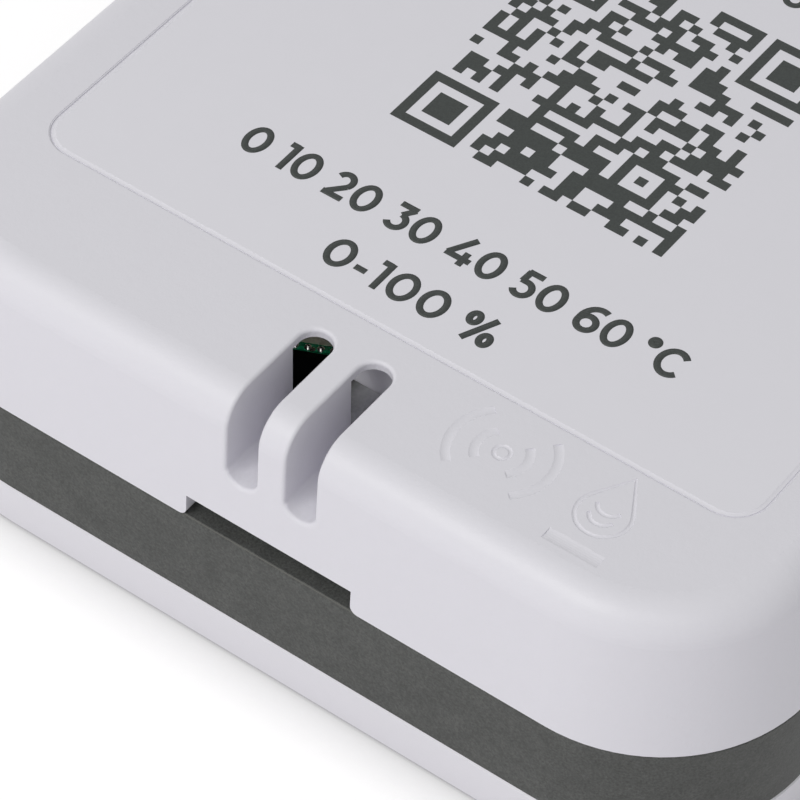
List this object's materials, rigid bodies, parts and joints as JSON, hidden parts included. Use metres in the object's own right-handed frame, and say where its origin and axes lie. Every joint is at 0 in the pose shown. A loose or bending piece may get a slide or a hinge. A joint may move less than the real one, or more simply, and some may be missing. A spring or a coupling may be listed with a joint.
{
  "type": "wireless temperature and humidity sensor",
  "caption": "Square wireless room sensor: white drafted cover with vent slots and a label pocket, grey tray, white wall plate, battery-fed electronics inside.",
  "frame": {"origin": "middle of the wall plate's back face, on which the sensor lies", "axes": "+Z from the wall plate to the label, -Y towards the edge with the vents, +X to the right when looking along +Y"},
  "size_m": [0.0786, 0.0786, 0.028],
  "materials": {
    "white_plastic": "fine spark-eroded satin",
    "grey_plastic": "fine grain, satin",
    "label_film": "printed matt film",
    "board_laminate": "green solder mask",
    "black_plastic": "moulded, matt",
    "screw_steel": "zinc plated",
    "solder": "bright solder",
    "sensor_cap": "cream membrane on a moulded body",
    "tinned_steel": "tinned, satin",
    "white_ceramic": "fired, matt",
    "tan_ceramic": "fired, matt",
    "can_aluminium": "drawn, satin",
    "cell_sleeve": "shrink sleeve",
    "spring_steel": "nickel plated"
  },
  "bodies": {
    "root": {"back_plate": "white_plastic", "base_tray": "grey_plastic", "battery_holder": "black_plastic", "board_screws": "screw_steel", "cell_front": "cell_sleeve", "cell_rear": "cell_sleeve", "chip_antenna": "white_ceramic", "chip_capacitors": "tan_ceramic", "chip_resistors": "black_plastic", "circuit_board": "board_laminate", "controller_chip": "black_plastic", "crystal": "tinned_steel", "humidity_sensor": "sensor_cap", "label_film": "label_film", "memory_chip": "black_plastic", "plate_screws": "screw_steel", "programming_header": "black_plastic", "radio_board": "board_laminate", "radio_shield": "tinned_steel", "reservoir_capacitor": "can_aluminium", "sensor_board": "board_laminate", "sensor_pins_front": "solder", "sensor_pins_rear": "solder", "sensor_socket_front": "black_plastic", "sensor_socket_rear": "black_plastic", "series_contact": "spring_steel", "terminal_front": "spring_steel", "terminal_rear": "spring_steel", "top_cover": "white_plastic"}
  },
  "joints": []
}
